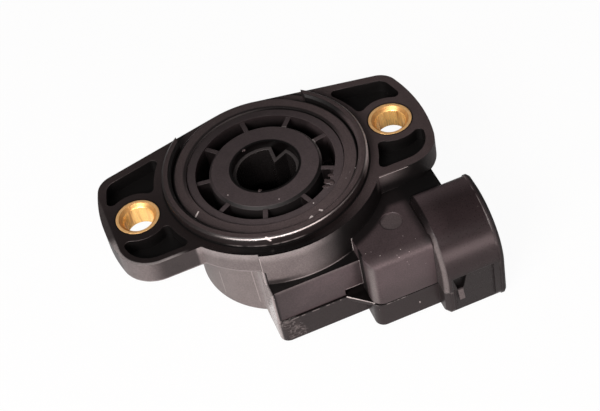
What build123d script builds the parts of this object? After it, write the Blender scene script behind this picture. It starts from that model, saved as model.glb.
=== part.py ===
from build123d import *
import math
import os

# Throttle position sensor, in millimetres.
# The origin lies on the rotor axis in the plane of the mounting face.
# Z points out of that face and X runs along the line of the two mounting holes.

# Fits and clearances
running_fit = 0.05
rim_fit = 0.1
free_gap = 0.33
axial_play = 0.15
contact_gap = 0.02

# Overlap where two shapes melt into one, and how far a cut runs past a face
melt = 0.3
overshoot = 1.0

# Mounting flange and its two ears
hole_spacing = 40.0
flange_thickness = 3.6
near_radius = 16.75
far_radius = 14.3
far_edge_angle = 12.7
ear_radius = 25.2
ear_near_edge = 10.0
ear_corner = 3.2
ear_near_corner = 5.4
pocket_depth = 2.2
pocket_wall = 1.3
pocket_corner = 0.8
boss_radius = 4.6
bar_half_width = 2.6

# Brass bushes for M4 screws
bush_diameter = 6.5
bush_bore = 4.5
bush_chamfer = 0.55

# Round cup that carries the rotor
case_radius = 12.95
case_wall = 1.0
ledge_width = 1.05

# Collar and raised lip around the rotor
collar_ledge = 1.17
collar_bore = case_radius - collar_ledge
collar_height = 0.62
collar_chamfer = 0.26
collar_depth = 1.6
lip_radius = 15.3
lip_inner = 13.9
lip_height = 1.65
lip_gap = 20.4
lip_chamfer = 0.35

# Pad that steps out of the flange above the terminal block
pad_radius = 17.1
pad_left = -6.8
pad_bottom = -6.2

# Terminal block, made of a low left part and a high right part
seam_height = -12.7
seam_width = 0.15
seam_depth = 0.4
block_left = -6.9
block_step = 6.7
block_right = 16.6
block_back = -8.0
low_front = -18.1
high_front = -22.0
panel_recess = 0.25
block_rounding = 1.8
web_right = 22.25
web_front = -14.0
web_back = -9.0
notch_left = 3.8
notch_height = 1.3
notch_depth = 1.4
disc_x = 13.0
disc_y = -15.5
disc_diameter = 3.3
disc_depth = 0.15

# Plug shroud
shroud_end = 26.05
shroud_top = -2.0
shroud_bottom = -18.0
shroud_front = -24.6
shroud_back = -13.2
shroud_arc = 8.4
shroud_corner = 1.5
shroud_wall = 1.4
shroud_floor = 1.2
shoulder_chamfer = 0.65
bead_width = 0.8
bead_height = 0.15
mouth_chamfer = 0.35
latch_left = 17.8
latch_right = 24.3
latch_top = -10.0
latch_step = 0.35
catch_depth = 0.75
catch_bottom = -12.9
catch_top_span = (0.1, 2.45)
catch_base_span = (0.8, 1.75)
ramp_x = 19.0
ramp_width = 0.9
ramp_bottom = -14.7
ramp_height = 0.6

# Floor, tray and tail of the rear case
case_bottom = -17.3
case_floor = 1.2
case_lip = 0.5
case_tail = 18.3
tray_wall = 1.4
tray_rounding = 1.4
gusset_thickness = 0.7
gusset_setback = 0.9
bearing_wall = 1.45
bearing_top = -11.3

# Rotor with nine spokes
rotor_top = 0.35
hub_bore = 5.02
hub_chamfer = 0.4
rim_wall = 1.28
rim_radius = collar_bore - rim_fit
rim_inner = rim_radius - rim_wall
rim_depth = 6.0
spoke_length = 2.0
hub_radius = rim_inner - spoke_length
rotor_floor = 0.8
spoke_count = 9
spoke_phase = 10.0
spoke_width = 0.75
spoke_drop = 0.3
journal_radius = 6.5
journal_bottom = case_bottom + case_floor + free_gap
bearing_radius = journal_radius + running_fit + bearing_wall
bore_bottom = -13.5
flange_clearance = 0.45
flange_rim = case_radius - flange_clearance
flange_top = -collar_depth - axial_play
flange_bottom = -2.9

# Turning stops: a lug on the rotor in a slot under the flange
travel = 100.0
stop_margin = 1.0
lug_angle = 204.0
lug_width = 16.0
lug_height = 1.5
lug_radius = flange_rim + lug_height
slot_radius = lug_radius + free_gap
slot_start = lug_angle - lug_width / 2 - stop_margin
slot_sweep = travel + lug_width + 2 * stop_margin

# Drive sleeve with one inward fold
sleeve_top = -0.9
sleeve_bottom = -9.0
sleeve_wall = 0.55
fold_apex = (1.65, 1.05)
fold_direction = 56.0
fold_half_angle = 31.0

# Track board, printed tracks and wiper
board_top = -8.4
board_thickness = 1.0
board_fit = 0.1
board_radius = case_radius - case_wall - board_fit
board_hole = hub_radius + free_gap
board_start = 60.0
board_sweep = 240.0
ledge_radius = case_radius - case_wall - ledge_width
track_thickness = 0.06
track_start = 75.0
track_sweep = 130.0
track_margin = 1.0
track_gap = 0.2
resistive_width = 0.9
collector_width = 0.8
resistive_outer = board_radius - track_margin
collector_outer = resistive_outer - resistive_width - track_gap
resistive_radii = (resistive_outer - resistive_width, resistive_outer)
collector_radii = (collector_outer - collector_width, collector_outer)
wiper_angle = 90.0
wiper_root = (-4.2, -2.6)
wiper_thickness = 0.3
finger_width = 0.6
contact_half = 0.15
toe_length = 0.7

# Terminal strips with their pins and stakes
strip_width = 1.0
strip_thickness = 0.4
pin_width = 1.5
pin_thickness = 0.6
pin_tip = 23.5
pin_chamfer = 0.2
pin_row_y = -19.0
stake_side = 0.7
stake_tail = 0.4
stake_inset = 1.06
stake_circle = board_hole + stake_inset
terminal_rows = {
    "supply": {"x": 3.0, "lane": -13.9, "turn": 14.0, "pin": -6.8},
    "signal": {"x": 0.0, "lane": -15.3, "turn": 14.0, "pin": -9.4},
    "ground": {"x": -3.0, "lane": -16.7, "turn": 12.0, "pin": -12.0},
}


def plate(outline, bottom, top):
    """Prism on a plan outline between two heights."""
    return extrude(Pos(0, 0, bottom) * outline, amount=top - bottom)


def ring(outer, inner, bottom, top):
    """Upright tube on the rotor axis."""
    return plate(Circle(outer) - Circle(inner), bottom, top)


def block(x_range, y_range, z_range):
    """Box between limits along each axis."""
    limits = (x_range, y_range, z_range)
    size = [abs(high - low) for low, high in limits]
    centre = [(high + low) / 2 for low, high in limits]
    return Pos(*centre) * Box(*size)


def sector(outer, inner, start, sweep):
    """Plan outline of a ring sector, angles in degrees from X."""
    outer_arc = CenterArc((0, 0), outer, start, sweep)
    inner_arc = CenterArc((0, 0), inner, start, sweep)
    first = Line(inner_arc @ 0, outer_arc @ 0)
    last = Line(inner_arc @ 1, outer_arc @ 1)
    return make_face([outer_arc, inner_arc, first, last])


def flange_outline():
    """Two ears joined by tangents over the far side and a round near side."""
    slope = math.tan(math.radians(far_edge_angle))
    apex = far_radius / math.cos(math.radians(far_edge_angle))
    reach = 1.2 * ear_radius
    shoulder = apex - reach * slope
    corners = [
        (-reach, -ear_near_edge),
        (reach, -ear_near_edge),
        (reach, shoulder),
        (0, apex),
        (-reach, shoulder),
    ]
    band = Polygon(*corners, align=None)
    band = fillet(band.vertices().sort_by(Axis.Y)[-1], far_radius)
    ears = band & Circle(ear_radius)
    tips = ears.vertices().filter_by(lambda tip: abs(tip.X) > hole_spacing / 2)
    ears = fillet(tips.filter_by(lambda tip: tip.Y < 0), ear_near_corner)
    tips = ears.vertices().filter_by(lambda tip: tip.Y > 0 and abs(tip.X) > hole_spacing / 2)
    ears = fillet(tips, ear_corner)
    near_side = Circle(near_radius) & Pos(0, -reach / 2) * Rectangle(2 * reach, reach)
    return ears + near_side


def bush_places():
    """Centres of the two mounting holes."""
    return [Pos(side * hole_spacing / 2, 0) for side in (-1, 1)]


def ear_pockets(outline):
    """Four recesses with rounded corners, two beside each bush."""
    zone = offset(outline, -pocket_wall - pocket_corner) - Circle(near_radius + pocket_corner)
    zone -= Rectangle(4 * ear_radius, 2 * (bar_half_width + pocket_corner))
    for place in bush_places():
        zone -= place * Circle(boss_radius + pocket_corner)
    pockets = Sketch()
    for face in zone.faces():
        pockets += offset(face, pocket_corner)
    return pockets


def make_lip(outline):
    """Raised ring that centres the sensor, open on the far side."""
    opening = Pos(0, far_radius) * Rectangle(lip_gap, 2 * far_radius)
    lip = plate((Circle(lip_radius) - Circle(lip_inner)) & outline - opening, 0, lip_height)
    rims = lip.edges().group_by(Axis.Z)[-1].filter_by(GeomType.CIRCLE)
    return chamfer(rims, lip_chamfer)


def shroud_section():
    """Outer section of the plug shroud, drawn with Y across and Z up."""
    centre = (shroud_front + shroud_arc, shroud_top - shroud_arc)
    crown = CenterArc(centre, shroud_arc, 90, 90)
    corners = [
        (shroud_front, shroud_bottom),
        (shroud_back, shroud_bottom),
        (shroud_back, shroud_top),
    ]
    outline = Polyline(crown @ 1, *corners, crown @ 0)
    section = make_face([crown, *outline.edges()])
    square = [v for v in section.vertices() if v.Y < shroud_bottom + 0.01 or v.X > shroud_back - 0.01]
    return fillet(square, shroud_corner)


def along_x(section, start, end):
    """Prism on a section drawn in Y and Z, between two X positions."""
    return extrude(Plane.YZ.offset(start) * section, amount=end - start)


def shroud_shell():
    """Outer body of the plug shroud with its bevelled shoulder and end bead."""
    section = shroud_section()
    shell = along_x(section, block_right, shroud_end - bead_width)
    shoulder = shell.faces().sort_by(Axis.X)[0]
    shell = chamfer(shoulder.edges(), shoulder_chamfer)
    bead = along_x(offset(section, bead_height), shroud_end - bead_width, shroud_end)
    mouth = bead.faces().sort_by(Axis.X)[-1]
    bead = chamfer(mouth.edges(), mouth_chamfer)
    flat_base = (shroud_bottom, shroud_top + overshoot)
    bead &= block((block_right, shroud_end), (shroud_front - overshoot, 0), flat_base)
    return shell + bead


def latch_cuts():
    """Stepped front face of the shroud and the catch recess at its left end."""
    step_back = shroud_front + latch_step
    step_span = (latch_left, latch_right)
    step = block(step_span, (shroud_front - overshoot, step_back), (shroud_bottom, latch_top))
    corners = [
        (latch_left + catch_base_span[0], catch_bottom),
        (latch_left + catch_base_span[1], catch_bottom),
        (latch_left + catch_top_span[1], latch_top),
        (latch_left + catch_top_span[0], latch_top),
    ]
    face = Plane.XZ.offset(-step_back) * Polygon(*corners, align=None)
    catch = extrude(face, amount=-catch_depth)
    return step + catch


def latch_ramp():
    """Short wedge below the catch recess that lifts the latch of the plug."""
    step_back = shroud_front + latch_step
    corners = [
        (step_back, catch_bottom),
        (step_back - ramp_height, ramp_bottom),
        (step_back + melt, ramp_bottom),
        (step_back + melt, catch_bottom),
    ]
    return along_x(Polygon(*corners, align=None), ramp_x - ramp_width / 2, ramp_x + ramp_width / 2)


def tray_outline():
    """Plan outline shared by the terminal block and the tray of the case below it."""
    corners = [
        (block_left, block_back),
        (block_left, low_front),
        (block_step, low_front),
        (block_step, high_front),
        (block_right, high_front),
        (block_right, block_back),
    ]
    outline = Polygon(*corners, align=None)
    outer = [v for v in outline.vertices() if v.Y < low_front + 0.01 and v.X < block_right - 0.01]
    outer = [v for v in outer if abs(v.X - block_step) > 0.01 or v.Y < high_front + 0.01]
    return fillet(outer, tray_rounding)


def terminal_block():
    """Low panel, high block and the web behind the shroud, above the seam."""
    panel_y = (low_front + panel_recess, 0)
    panel = block((block_left + case_lip, block_step), panel_y, (seam_height, pad_bottom))
    panel -= block(
        (notch_left, block_step + overshoot),
        (low_front, low_front + panel_recess + notch_depth),
        (seam_height, seam_height + notch_height),
    )
    high = block((block_step, block_right), (high_front, block_back), (seam_height, -flange_thickness))
    top_front = high.edges().filter_by(Axis.X).group_by(Axis.Z)[-1].sort_by(Axis.Y)[0]
    left_front = high.edges().filter_by(Axis.Z).group_by(Axis.Y)[0].sort_by(Axis.X)[0]
    high = fillet([top_front, left_front], block_rounding)
    mark = Pos(disc_x, disc_y) * Circle(disc_diameter / 2)
    high -= plate(mark, -flange_thickness - disc_depth, 0)
    web = block((disc_x, web_right), (web_front, web_back), (seam_height, -flange_thickness))
    return panel + high + web


def make_terminal(row):
    """One strip from its board joint to its plug pin, bent twice."""
    half = strip_width / 2
    x, lane, turn = row["x"], row["lane"], row["turn"]
    flat = (board_top, board_top + strip_thickness)
    pin_z = (row["pin"] - pin_thickness / 2, row["pin"] + pin_thickness / 2)
    low, high = min(flat[0], pin_z[0]), max(flat[1], pin_z[1])
    strip = block((x - half, x + half), (lane - half, stake_y(row) + half), flat)
    strip += block((x - half, turn + half), (lane - half, lane + half), flat)
    strip += block((turn + half - strip_thickness, turn + half), (lane - half, lane + half), (low, high))
    strip += block((turn - half, turn + half), (pin_row_y - pin_width / 2, lane + half), pin_z)
    pin_y = (pin_row_y - pin_width / 2, pin_row_y + pin_width / 2)
    pin = block((turn - half, pin_tip), pin_y, pin_z)
    pin = chamfer(pin.faces().sort_by(Axis.X)[-1].edges(), pin_chamfer)
    return strip + pin + stake(row)


def stake_y(row):
    """Place of a stake on its circle, in front of the axis."""
    return -math.sqrt(stake_circle**2 - row["x"] ** 2)


def stake(row):
    """Square post of a terminal foot, pressed through the board."""
    post = Pos(row["x"], stake_y(row)) * Rectangle(stake_side, stake_side)
    return plate(post, board_top - board_thickness - stake_tail, board_top)


def make_bush():
    """Brass sleeve with a chamfered mouth, drawn on the origin."""
    bush = ring(bush_diameter / 2, bush_bore / 2, -flange_thickness, 0)
    mouth = bush.edges().group_by(Axis.Z)[-1].sort_by(SortBy.RADIUS)[0]
    return chamfer(mouth, bush_chamfer)


def stop_slot():
    """Slot under the flange whose two ends stop the rotor lug."""
    return plate(sector(slot_radius, collar_bore, slot_start, slot_sweep), -flange_thickness, -collar_depth)


def front_area(left):
    """Plan area in front of the ears and right of a line."""
    size = 2 * shroud_end
    return Pos(left + size / 2, -ear_near_edge - size / 2) * Rectangle(size, size)


def make_housing(terminals):
    """Front moulding: flange, ears, collar, lip, terminal block and plug shroud."""
    outline = flange_outline()
    body = plate(outline, -flange_thickness, 0)
    body -= plate(ear_pockets(outline), -pocket_depth, 0)
    collar = plate(Circle(lip_inner), -collar_depth, collar_height)
    body += chamfer(collar.edges().group_by(Axis.Z)[-1], collar_chamfer)
    body += make_lip(outline)
    body += plate(Circle(pad_radius) & front_area(pad_left), -flange_thickness, 0)
    body += plate(Circle(pad_radius) & front_area(block_left + case_lip), pad_bottom, -flange_thickness)
    body += terminal_block()
    body += shroud_shell()
    body -= latch_cuts()
    body += latch_ramp()
    body -= socket_room()
    body -= tail_room()
    body -= seam_line()
    body -= plate(Circle(collar_bore), -collar_depth, lip_height)
    body -= plate(Circle(case_radius), case_bottom, -collar_depth)
    body -= stop_slot()
    for place in bush_places():
        body -= plate(place * Circle(bush_diameter / 2), -flange_thickness, 0)
    for terminal in terminals:
        body -= terminal
    return body


def socket_room():
    """Space for the mating plug."""
    return along_x(offset(shroud_section(), -shroud_wall), block_right + shroud_floor, shroud_end)


def tail_room():
    """Space that the case takes under the left end of the shroud."""
    front = (shroud_front - overshoot, 0)
    return block((block_right - overshoot, case_tail), front, (shroud_bottom, seam_height))


def seam_line():
    """Shallow groove along the seam between housing and case."""
    outline = tray_outline()
    frame = outline - offset(outline, -seam_depth)
    return plate(frame, seam_height, seam_height + seam_width)


def make_case():
    """Rear moulding: round cup, tray under the terminal block and thin side wall."""
    floor_top = case_bottom + case_floor
    rim_top = flange_bottom - axial_play
    case = plate(Circle(case_radius), case_bottom, rim_top)
    case += plate(tray_outline(), case_bottom, seam_height)
    case += shroud_shell() & tail_room()
    tongue = sector(slot_radius, case_radius - case_wall, slot_start, slot_sweep)
    case += plate(tongue, -flange_thickness, rim_top)
    side_x = (block_left, block_left + case_lip)
    case += block(side_x, (low_front, -ear_near_edge), (seam_height, pad_bottom))
    under_pad = block(side_x, (low_front, -ear_near_edge), (pad_bottom, -flange_thickness))
    case += under_pad & plate(Circle(pad_radius), pad_bottom, -flange_thickness)
    case += plate(gusset_outline(), seam_height - gusset_thickness, seam_height)
    case -= tray_hollow()
    case -= plate(Circle(ledge_radius), floor_top, rim_top)
    case -= plate(Circle(case_radius - case_wall), board_top - board_thickness, rim_top)
    case += ring(bearing_radius, journal_radius + running_fit, floor_top, bearing_top)
    case -= terminal_window()
    return case - socket_room() - latch_cuts()


def gusset_outline():
    """Triangular plate in the corner between the low and high parts of the tray."""
    corners = [
        (notch_left, low_front + melt),
        (notch_left, low_front),
        (block_step + melt, high_front + gusset_setback),
        (block_step + melt, low_front + melt),
    ]
    return Polygon(*corners, align=None)


def tray_hollow():
    """Room inside the tray, walls left all round."""
    floor_top = case_bottom + case_floor
    outline = offset(tray_outline(), -tray_wall) - Circle(case_radius)
    hollow = Sketch()
    for face in outline.faces():
        if face.area > 5:
            hollow += face
    return plate(hollow, floor_top, seam_height)


def terminal_window():
    """Opening in the cup wall where the three strips leave the board."""
    half = terminal_rows["supply"]["x"] + strip_width
    depth = (-case_radius - overshoot, -ledge_radius)
    return block((-half, half), depth, (board_top, board_top + 2 * strip_thickness))


def make_rotor():
    """Spoked wheel with its hub, journal, retaining flange and stop lug."""
    rim_bottom = rotor_top - rim_depth
    hub = plate(Circle(hub_radius), rim_bottom, rotor_top)
    hub = chamfer(hub.edges().group_by(Axis.Z)[-1], hub_chamfer)
    wheel = hub + plate(Circle(journal_radius), journal_bottom, rim_bottom)
    wheel += ring(rim_radius, rim_inner, rim_bottom, rotor_top)
    wheel += ring(rim_radius, hub_radius - melt, rim_bottom, rim_bottom + rotor_floor)
    spoke_span = (hub_radius - hub_chamfer, rim_inner + melt)
    spoke = block(spoke_span, (-spoke_width / 2, spoke_width / 2), (rim_bottom, rotor_top - spoke_drop))
    for index in range(spoke_count):
        wheel += Rot(0, 0, spoke_phase + index * 360 / spoke_count) * spoke
    wheel += ring(flange_rim, rim_inner + melt, flange_bottom, flange_top)
    lug = sector(lug_radius, flange_rim - melt, lug_angle - lug_width / 2, lug_width)
    wheel += plate(lug, flange_bottom, flange_top)
    return wheel - plate(Circle(hub_bore), bore_bottom, rotor_top)


def fold_wedge(setback):
    """Triangle that opens outwards from the apex of the fold."""
    reach = 2 * hub_bore
    half = reach * math.tan(math.radians(fold_half_angle))
    triangle = Pos(setback, 0) * Polygon((0, 0), (reach, -half), (reach, half), align=None)
    return Pos(*fold_apex) * Rot(0, 0, fold_direction) * triangle


def make_sleeve():
    """Drive sleeve whose wall folds inwards into a V that grips the shaft."""
    outline = Circle(hub_bore) - Circle(hub_bore - sleeve_wall)
    outline += fold_wedge(0) & Circle(hub_bore)
    outline -= fold_wedge(sleeve_wall / math.sin(math.radians(fold_half_angle)))
    return plate(outline, sleeve_bottom, sleeve_top)


def make_wiper():
    """Spring contact under the rotor, one finger for each track."""
    root_top = rotor_top - rim_depth
    root_bottom = root_top - wiper_thickness
    tip = board_top + track_thickness + contact_gap
    side = [
        (wiper_root[0], root_bottom),
        (wiper_root[1] - wiper_thickness, root_bottom),
        (-contact_half, tip),
        (contact_half, tip),
        (toe_length, tip + 1.4 * wiper_thickness),
        (toe_length, tip + 2.4 * wiper_thickness),
        (0, tip + wiper_thickness),
        (-2 * contact_half, tip + 1.7 * wiper_thickness),
        (wiper_root[1], root_top),
        (wiper_root[0], root_top),
    ]
    wiper = block((collector_radii[0], resistive_radii[1]), wiper_root, (root_bottom, root_top))
    for low, high in (collector_radii, resistive_radii):
        start = (low + high - finger_width) / 2
        finger = extrude(Plane.YZ.offset(start) * Polygon(*side, align=None), amount=finger_width)
        wiper += finger
    return Rot(0, 0, wiper_angle) * wiper


def make_board():
    """Open ring that carries the printed tracks, pierced for the terminal stakes."""
    outline = sector(board_radius, board_hole, board_start, board_sweep)
    board = plate(outline, board_top - board_thickness, board_top)
    for row in terminal_rows.values():
        board -= stake(row)
    return board


def make_track(radii):
    """Printed arc on the board."""
    arc = sector(radii[1], radii[0], track_start, track_sweep)
    return plate(arc, board_top, board_top + track_thickness)


def make_parts():
    """Every piece of the sensor under its own name."""
    terminals = {name: make_terminal(row) for name, row in terminal_rows.items()}
    parts = {"housing": make_housing(terminals.values()), "rear_case": make_case()}
    for name, place in zip(("bush_left", "bush_right"), bush_places()):
        parts[name] = place * make_bush()
    parts["rotor"] = make_rotor()
    parts["drive_sleeve"] = make_sleeve()
    parts["wiper"] = make_wiper()
    parts["track_board"] = make_board()
    parts["resistive_track"] = make_track(resistive_radii)
    parts["collector_track"] = make_track(collector_radii)
    for name, terminal in terminals.items():
        parts["terminal_" + name] = terminal
    return parts


os.makedirs("parts", exist_ok=True)
for part_name, shape in make_parts().items():
    export_step(shape, "parts/" + part_name + ".step")
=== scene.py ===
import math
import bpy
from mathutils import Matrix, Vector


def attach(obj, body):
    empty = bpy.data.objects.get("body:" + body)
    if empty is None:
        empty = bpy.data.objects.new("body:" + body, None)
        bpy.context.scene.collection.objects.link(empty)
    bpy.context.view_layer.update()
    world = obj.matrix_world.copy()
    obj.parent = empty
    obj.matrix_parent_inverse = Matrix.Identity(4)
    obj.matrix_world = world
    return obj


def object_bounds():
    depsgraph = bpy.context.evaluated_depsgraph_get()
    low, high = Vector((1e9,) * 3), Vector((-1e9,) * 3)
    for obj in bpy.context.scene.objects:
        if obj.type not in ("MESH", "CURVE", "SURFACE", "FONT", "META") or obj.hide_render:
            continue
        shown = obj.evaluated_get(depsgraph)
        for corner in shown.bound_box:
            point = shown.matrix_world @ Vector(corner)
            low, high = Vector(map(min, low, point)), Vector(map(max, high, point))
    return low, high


bl_info = {
    "name": "Throttle Position Sensor",
    "version": (1, 0, 0),
    "blender": (4, 5, 0),
    "location": "View3D > Sidebar > Sensor",
    "description": "Dresses the solids of a throttle position sensor and sets them on a pale stage",
    "category": "Object",
}

import bmesh
import bpy
from bpy.props import FloatProperty, FloatVectorProperty, PointerProperty
from bpy.types import NodeSocket, Operator, Panel, PropertyGroup
from mathutils import Matrix, Vector, noise

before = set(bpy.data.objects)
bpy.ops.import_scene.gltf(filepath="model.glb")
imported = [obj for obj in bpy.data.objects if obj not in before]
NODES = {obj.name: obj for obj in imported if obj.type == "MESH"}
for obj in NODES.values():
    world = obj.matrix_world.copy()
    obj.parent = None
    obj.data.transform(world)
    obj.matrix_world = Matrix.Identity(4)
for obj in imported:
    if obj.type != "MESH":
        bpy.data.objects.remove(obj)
CAD_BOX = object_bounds()
MM = 0.001

# Places on the sensor, in millimetres from the rotor's axis and the mounting face.
# The masks further down give their places and widths in the same way.
BUSH_OUT = 20.0
EAR_CORNER = (19.26, -4.6)
EAR_FAR_CORNER = 20.97
EAR_SLANT = (0.2198, 0.9755)
EAR_SLANT_REACH = 11.1
GATE_MARK = (13.0, -15.5)
# Direction in plan, towards the near side and a little to the right, in which the painted light on the
# collar and rotor tops grows paler.
PAINTED_LIGHT_SIDE = (0.26, 0.966)

# Depth of the fine relief, in metres.
MOULD_GRAIN = 0.000018
TURNED_LINES = 0.000012
DRAWN_LINES = 0.000008
ROLLED_LINES = 0.000006
CRUMBS = 0.00003

# Shine of the plastics.
HOUSING_GLOSS = 0.3
ROTOR_GLOSS = 0.3
SLEEVE_GLOSS = 0.35
CASE_GLOSS = 0.2

# Edges: the bend that stays sharp, and the rounding of thin strips in metres.
SHARP_BEND = math.radians(24)
STRIP_EDGE = 0.00004

# Sockets of the Mix node, which are numbered because its names repeat.
COLOUR_IN, COLOUR_OUT = (6, 7), 2
VALUE_IN, VALUE_OUT = (2, 3), 0

# Lumps of flash on the rotor: name, centre and half sizes in millimetres, turn in degrees, seed.
FLASH = (
    ("rim_flash_wide", (7.15, -7.75, 0.30), (0.95, 0.50, 0.17), -45.0, 3.1),
    ("rim_flash_tip", (6.45, -8.35, 0.30), (0.50, 0.36, 0.15), -20.0, 7.4),
    ("rim_flash_side", (7.85, -6.65, 0.30), (0.46, 0.32, 0.15), -50.0, 2.2),
    ("bore_nub_near", (-2.4, -4.3, 0.26), (0.36, 0.24, 0.16), 30.0, 1.3),
    ("bore_nub_far", (-1.7, 4.65, 0.24), (0.30, 0.20, 0.14), 10.0, 5.2),
)


def colour(name, description, default):
    """Colour property of a finish."""
    return FloatVectorProperty(
        name=name, description=description, default=default, subtype="COLOR", size=3, min=0.0, max=1.0
    )


def length(name, description, default):
    """Length property in metres."""
    return FloatProperty(name=name, description=description, default=default, unit="LENGTH", precision=6)


def share(name, description, default):
    """Property between none and all."""
    return FloatProperty(
        name=name, description=description, default=default, subtype="FACTOR", min=0.0, max=1.0
    )


def angle(name, description, default):
    """Angle property, given in degrees."""
    return FloatProperty(
        name=name, description=description, default=math.radians(default), subtype="ANGLE"
    )


def power(name, description, default):
    """Lamp power in watts."""
    return FloatProperty(name=name, description=description, default=default, unit="POWER", min=0.0)


class SensorPlastic(PropertyGroup):
    """Finishes of the black mouldings, and the tones that paint light and shade on them."""

    land: colour("Flange face", "Smooth face of the flange and the ears", (0.0092, 0.0068, 0.0068))
    collar: colour("Collar", "Matt turned face around the rotor", (0.040, 0.0305, 0.0308))
    # Darker tone that paints shade onto parts of the flange wall and the terminal block; the lip itself
    # takes the collar and flange colours.
    lip: colour("Lip", "Raised ring around the collar", (0.010, 0.007, 0.007))
    # Set paler than the flat faces partly as painted light, besides its coarser texture; also the tone
    # of painted highlights on the block, the shroud and the right ear's wall.
    wall: colour("Flange wall", "Textured outer wall of the flange", (0.093, 0.082, 0.081))
    block: colour("Terminal block", "Fine grained faces of the terminal block", (0.050, 0.0375, 0.0398))
    shroud: colour("Plug shroud", "Smoother faces of the plug shroud", (0.0135, 0.0092, 0.0098))
    # The cup is set paler, and the tray darker, partly as painted light and shade.
    case: colour("Rear cup", "Outer wall of the round cup", (0.119, 0.106, 0.104))
    tray: colour("Tray", "Lower part under the terminal block", (0.0155, 0.0122, 0.0124))
    # Pale tone of painted highlights and reflections: the tray's left side, the left ear's rim, the
    # upper wall on the left and lines along lower edges.
    painted_highlight: colour("Bare side", "Paler left side of the tray", (0.235, 0.219, 0.217))
    hub: colour("Rotor", "Matt top of hub, rim and spokes", (0.0375, 0.0295, 0.0308))
    sleeve: colour("Drive sleeve", "Folded sleeve in the hub", (0.034, 0.0305, 0.0305))
    # Near-black tone painted as shade in recesses, inner walls, corners and the gaps round the bushes,
    # and along the tray's seam.
    painted_shade: colour("Hollows", "Recesses and inner walls", (0.0018, 0.0015, 0.0015))
    edge: length("Edge rounding", "Radius of the moulded edges", 0.00018)


class SensorMetal(PropertyGroup):
    """Finishes of the metal pieces and the track board."""

    brass: colour("Brass", "Turned bush", (0.96, 0.62, 0.22))
    rose: colour("Rosy brass", "Flat end of the bush", (1.0, 0.62, 0.26))
    tarnish: colour("Tarnish", "Darker film on the brass", (0.47, 0.24, 0.078))
    stain: colour("Stain", "Brown dashes in the bore", (0.20, 0.09, 0.025))
    tin: colour("Tinned strip", "Terminal strips and pins", (0.66, 0.64, 0.60))
    spring: colour("Spring", "Wiper strip", (0.62, 0.46, 0.27))
    silver: colour("Silver film", "Printed collector", (0.60, 0.60, 0.58))
    carbon: colour("Carbon film", "Printed resistor", (0.028, 0.028, 0.030))
    board: colour("Board", "Fired carrier of the tracks", (0.62, 0.59, 0.52))


class SensorMarks(PropertyGroup):
    """Marks of moulding and handling, and the pale tone of painted highlights."""

    # Its pale tone also paints the highlights on the lip, on edges of the housing and the case and on
    # the hub's edge.
    scratch_and_highlight: colour("Scratches", "Pale nicks on the mouldings", (0.80, 0.74, 0.72))
    flash: colour("Flash", "Thin lumps left by the mould", (0.036, 0.025, 0.0255))


class SensorStage(PropertyGroup):
    """Camera, floor and lamps."""

    floor: colour("Floor", "Pale floor", (0.74, 0.74, 0.74))
    azimuth: angle("Azimuth", "Direction of sight, turned from +Y towards +X", 11.514678)
    elevation: angle("Elevation", "Downward angle of sight", 47.160898)
    roll: angle("Roll", "Turn of the picture about the line of sight", -13.025139)
    aim: FloatVectorProperty(
        name="Aim", description="Point at the centre of the picture", precision=6,
        default=(0.002921773, -0.004141566, -0.006), subtype="TRANSLATION", unit="LENGTH",
    )
    distance: length("Distance", "From the aim to the camera", 0.209752875)
    lens: FloatProperty(
        name="Lens", description="Focal length in millimetres", default=84.949485, unit="CAMERA"
    )
    key: power("Key lamp", "Soft lamp at the upper left", 2.95)
    window: power("Window lamp", "Low wide lamp in front of the sensor", 1.15)
    strip: power("Strip lamp", "Long narrow lamp above the window", 0.85)
    lamp_tint: colour("Lamp tint", "Slightly warm light of the lamps", (1.0, 0.93, 0.91))
    window_tint: colour("Window tint", "Rosy light of the window lamp", (1.0, 0.77, 0.77))
    sky: share("Sky", "Even light from all round", 0.11)


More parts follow.
